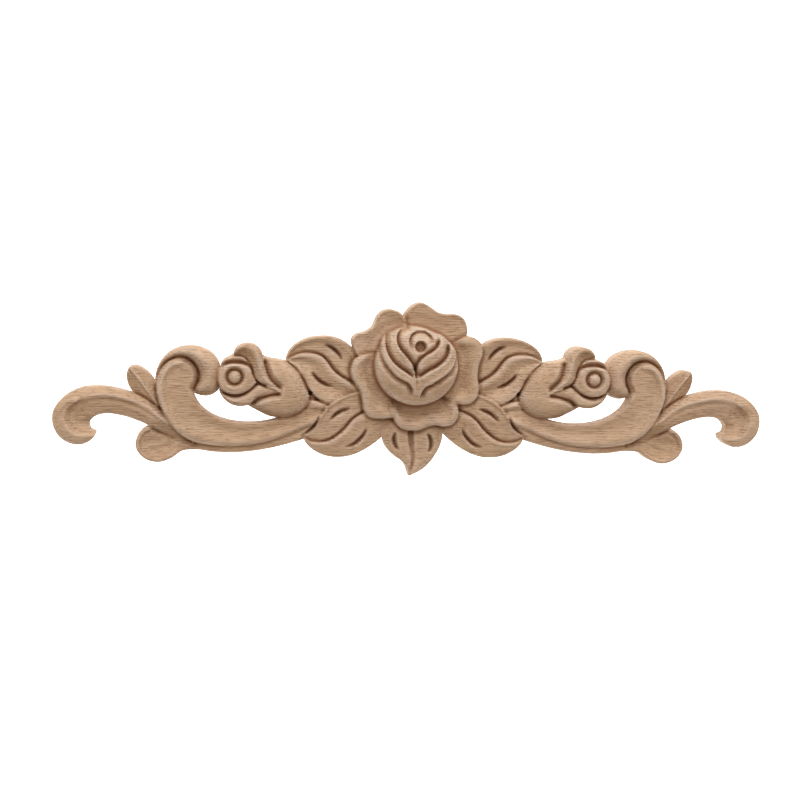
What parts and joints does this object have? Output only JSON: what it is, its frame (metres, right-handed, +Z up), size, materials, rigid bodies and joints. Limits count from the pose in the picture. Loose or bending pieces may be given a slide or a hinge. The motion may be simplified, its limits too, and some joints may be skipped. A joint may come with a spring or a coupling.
{
  "type": "carved wooden rose applique",
  "caption": "Flat-backed carved wooden applique with a rose, leaves, side buds and hollowed scroll ends, fixed by its back.",
  "frame": {"origin": "middle of the flat back: half the length and half the height, in the plane that is glued to the furniture", "axes": "+X along the length to the right, +Z up towards the rose's top petals, +Y out of the flat back into the furniture; the carving faces -Y"},
  "size_m": [0.3, 0.018, 0.0731],
  "materials": {
    "bare_rubberwood": "bare sanded rubberwood, matt, with fine horizontal grain"
  },
  "bodies": {
    "root": {"carved_applique": "bare_rubberwood"}
  },
  "joints": []
}
